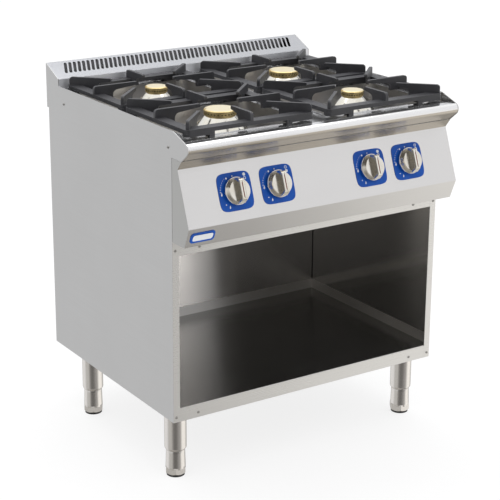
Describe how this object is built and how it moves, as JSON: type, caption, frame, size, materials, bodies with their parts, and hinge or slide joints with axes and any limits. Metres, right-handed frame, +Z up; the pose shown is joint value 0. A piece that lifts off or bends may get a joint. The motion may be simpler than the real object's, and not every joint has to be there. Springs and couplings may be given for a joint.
{
  "type": "commercial gas range",
  "caption": "Floor-standing gas range with open burners under lift-off cast pan supports, push-and-turn taps on a sloped panel, a slotted flue and an open cabinet on adjustable legs.",
  "frame": {"origin": "on the floor under the middle of the bounding box", "axes": "+X to the right when facing the knobs, +Y to the back, +Z up"},
  "size_m": [0.8036, 0.76, 0.952],
  "materials": {
    "side_steel": "fine satin",
    "inner_steel": "satin, reflective",
    "front_steel": "fine brushed",
    "hob_steel": "polished",
    "badge_blue": "anodised, blank",
    "brass": "machined",
    "cap_brass": "pale, polished",
    "pipe_steel": "zinc plated",
    "copper": "drawn copper tube",
    "screw_steel": "bright",
    "dial_blue": "glossy blue print",
    "bell_steel": "turned, polished",
    "leg_steel": "satin tube",
    "knob_metal": "satin plated",
    "enamel_iron": "matt enamel",
    "pad_rubber": "matt black"
  },
  "bodies": {
    "frame": {"side_panel_left": "side_steel", "side_panel_right": "side_steel", "rear_panel": "side_steel", "inner_back": "inner_steel", "bottom_shelf": "inner_steel", "front_crossbar": "front_steel", "heat_shield": "inner_steel", "hob_top": "hob_steel", "flue_cover": "hob_steel", "control_panel": "front_steel", "badge_plate": "badge_blue", "gas_taps": "brass", "gas_manifold": "pipe_steel", "supply_pipes": "copper", "gas_injectors": "brass", "pilot_burners": "pipe_steel", "thermocouples": "copper", "gas_inlet_pipe": "pipe_steel", "gas_inlet_nipple": "brass", "body_screws": "screw_steel", "dial_plate_front_left": "dial_blue", "dial_plate_rear_left": "dial_blue", "dial_plate_rear_right": "dial_blue", "dial_plate_front_right": "dial_blue", "burner_body_front_left": "bell_steel", "leg_front_left": "leg_steel", "burner_body_front_right": "bell_steel", "leg_front_right": "leg_steel", "burner_body_rear_left": "bell_steel", "leg_rear_left": "leg_steel", "burner_body_rear_right": "bell_steel", "leg_rear_right": "leg_steel"},
    "tap_front_left": {"tap_plug_front_left": "brass"},
    "control_front_left": {"spindle_front_left": "pipe_steel", "knob_front_left": "knob_metal"},
    "tap_rear_left": {"tap_plug_rear_left": "brass"},
    "control_rear_left": {"spindle_rear_left": "pipe_steel", "knob_rear_left": "knob_metal"},
    "tap_rear_right": {"tap_plug_rear_right": "brass"},
    "control_rear_right": {"spindle_rear_right": "pipe_steel", "knob_rear_right": "knob_metal"},
    "tap_front_right": {"tap_plug_front_right": "brass"},
    "control_front_right": {"spindle_front_right": "pipe_steel", "knob_front_right": "knob_metal"},
    "support_front_left": {"grate_front_left": "enamel_iron"},
    "support_front_right": {"grate_front_right": "enamel_iron"},
    "support_rear_left": {"grate_rear_left": "enamel_iron"},
    "support_rear_right": {"grate_rear_right": "enamel_iron"},
    "cap_front_left": {"burner_cap_front_left": "cap_brass"},
    "cap_front_right": {"burner_cap_front_right": "cap_brass"},
    "cap_rear_left": {"burner_cap_rear_left": "cap_brass"},
    "cap_rear_right": {"burner_cap_rear_right": "cap_brass"},
    "levelling_foot_front_left": {"foot_front_left": "leg_steel", "foot_pad_front_left": "pad_rubber"},
    "levelling_foot_front_right": {"foot_front_right": "leg_steel", "foot_pad_front_right": "pad_rubber"},
    "levelling_foot_rear_left": {"foot_rear_left": "leg_steel", "foot_pad_rear_left": "pad_rubber"},
    "levelling_foot_rear_right": {"foot_rear_right": "leg_steel", "foot_pad_rear_right": "pad_rubber"}
  },
  "joints": [
    {"name": "tap_turn_front_left", "type": "hinge", "parent": "frame", "child": "tap_front_left", "pos_m": [-0.258, -0.33764, 0.74862], "axis": [0, -0.9375, 0.348], "range_deg": [0, 190]},
    {"name": "knob_push_front_left", "type": "slide", "parent": "tap_front_left", "child": "control_front_left", "axis": [0, 0.9375, -0.348], "range_m": [0, 0.004], "stiffness_N_per_m": 500, "springref_m": -0.004},
    {"name": "tap_turn_rear_left", "type": "hinge", "parent": "frame", "child": "tap_rear_left", "pos_m": [-0.139, -0.33764, 0.74862], "axis": [0, -0.9375, 0.348], "range_deg": [0, 190]},
    {"name": "knob_push_rear_left", "type": "slide", "parent": "tap_rear_left", "child": "control_rear_left", "axis": [0, 0.9375, -0.348], "range_m": [0, 0.004], "stiffness_N_per_m": 500, "springref_m": -0.004},
    {"name": "tap_turn_rear_right", "type": "hinge", "parent": "frame", "child": "tap_rear_right", "pos_m": [0.139, -0.33764, 0.74862], "axis": [0, -0.9375, 0.348], "range_deg": [0, 190]},
    {"name": "knob_push_rear_right", "type": "slide", "parent": "tap_rear_right", "child": "control_rear_right", "axis": [0, 0.9375, -0.348], "range_m": [0, 0.004], "stiffness_N_per_m": 500, "springref_m": -0.004},
    {"name": "tap_turn_front_right", "type": "hinge", "parent": "frame", "child": "tap_front_right", "pos_m": [0.258, -0.33764, 0.74862], "axis": [0, -0.9375, 0.348], "range_deg": [0, 190]},
    {"name": "knob_push_front_right", "type": "slide", "parent": "tap_front_right", "child": "control_front_right", "axis": [0, 0.9375, -0.348], "range_m": [0, 0.004], "stiffness_N_per_m": 500, "springref_m": -0.004},
    {"name": "grate_lift_front_left", "type": "slide", "parent": "frame", "child": "support_front_left", "axis": [0, 0, 1], "range_m": [0, 0.12]},
    {"name": "grate_lift_front_right", "type": "slide", "parent": "frame", "child": "support_front_right", "axis": [0, 0, 1], "range_m": [0, 0.12]},
    {"name": "grate_lift_rear_left", "type": "slide", "parent": "frame", "child": "support_rear_left", "axis": [0, 0, 1], "range_m": [0, 0.12]},
    {"name": "grate_lift_rear_right", "type": "slide", "parent": "frame", "child": "support_rear_right", "axis": [0, 0, 1], "range_m": [0, 0.12]},
    {"name": "cap_lift_front_left", "type": "slide", "parent": "frame", "child": "cap_front_left", "axis": [0, 0, 1], "range_m": [0, 0.05]},
    {"name": "cap_lift_front_right", "type": "slide", "parent": "frame", "child": "cap_front_right", "axis": [0, 0, 1], "range_m": [0, 0.05]},
    {"name": "cap_lift_rear_left", "type": "slide", "parent": "frame", "child": "cap_rear_left", "axis": [0, 0, 1], "range_m": [0, 0.05]},
    {"name": "cap_lift_rear_right", "type": "slide", "parent": "frame", "child": "cap_rear_right", "axis": [0, 0, 1], "range_m": [0, 0.05]},
    {"name": "foot_screw_front_left", "type": "slide", "parent": "frame", "child": "levelling_foot_front_left", "axis": [0, 0, -1], "range_m": [0, 0.05]},
    {"name": "foot_screw_front_right", "type": "slide", "parent": "frame", "child": "levelling_foot_front_right", "axis": [0, 0, -1], "range_m": [0, 0.05]},
    {"name": "foot_screw_rear_left", "type": "slide", "parent": "frame", "child": "levelling_foot_rear_left", "axis": [0, 0, -1], "range_m": [0, 0.05]},
    {"name": "foot_screw_rear_right", "type": "slide", "parent": "frame", "child": "levelling_foot_rear_right", "axis": [0, 0, -1], "range_m": [0, 0.05]}
  ]
}
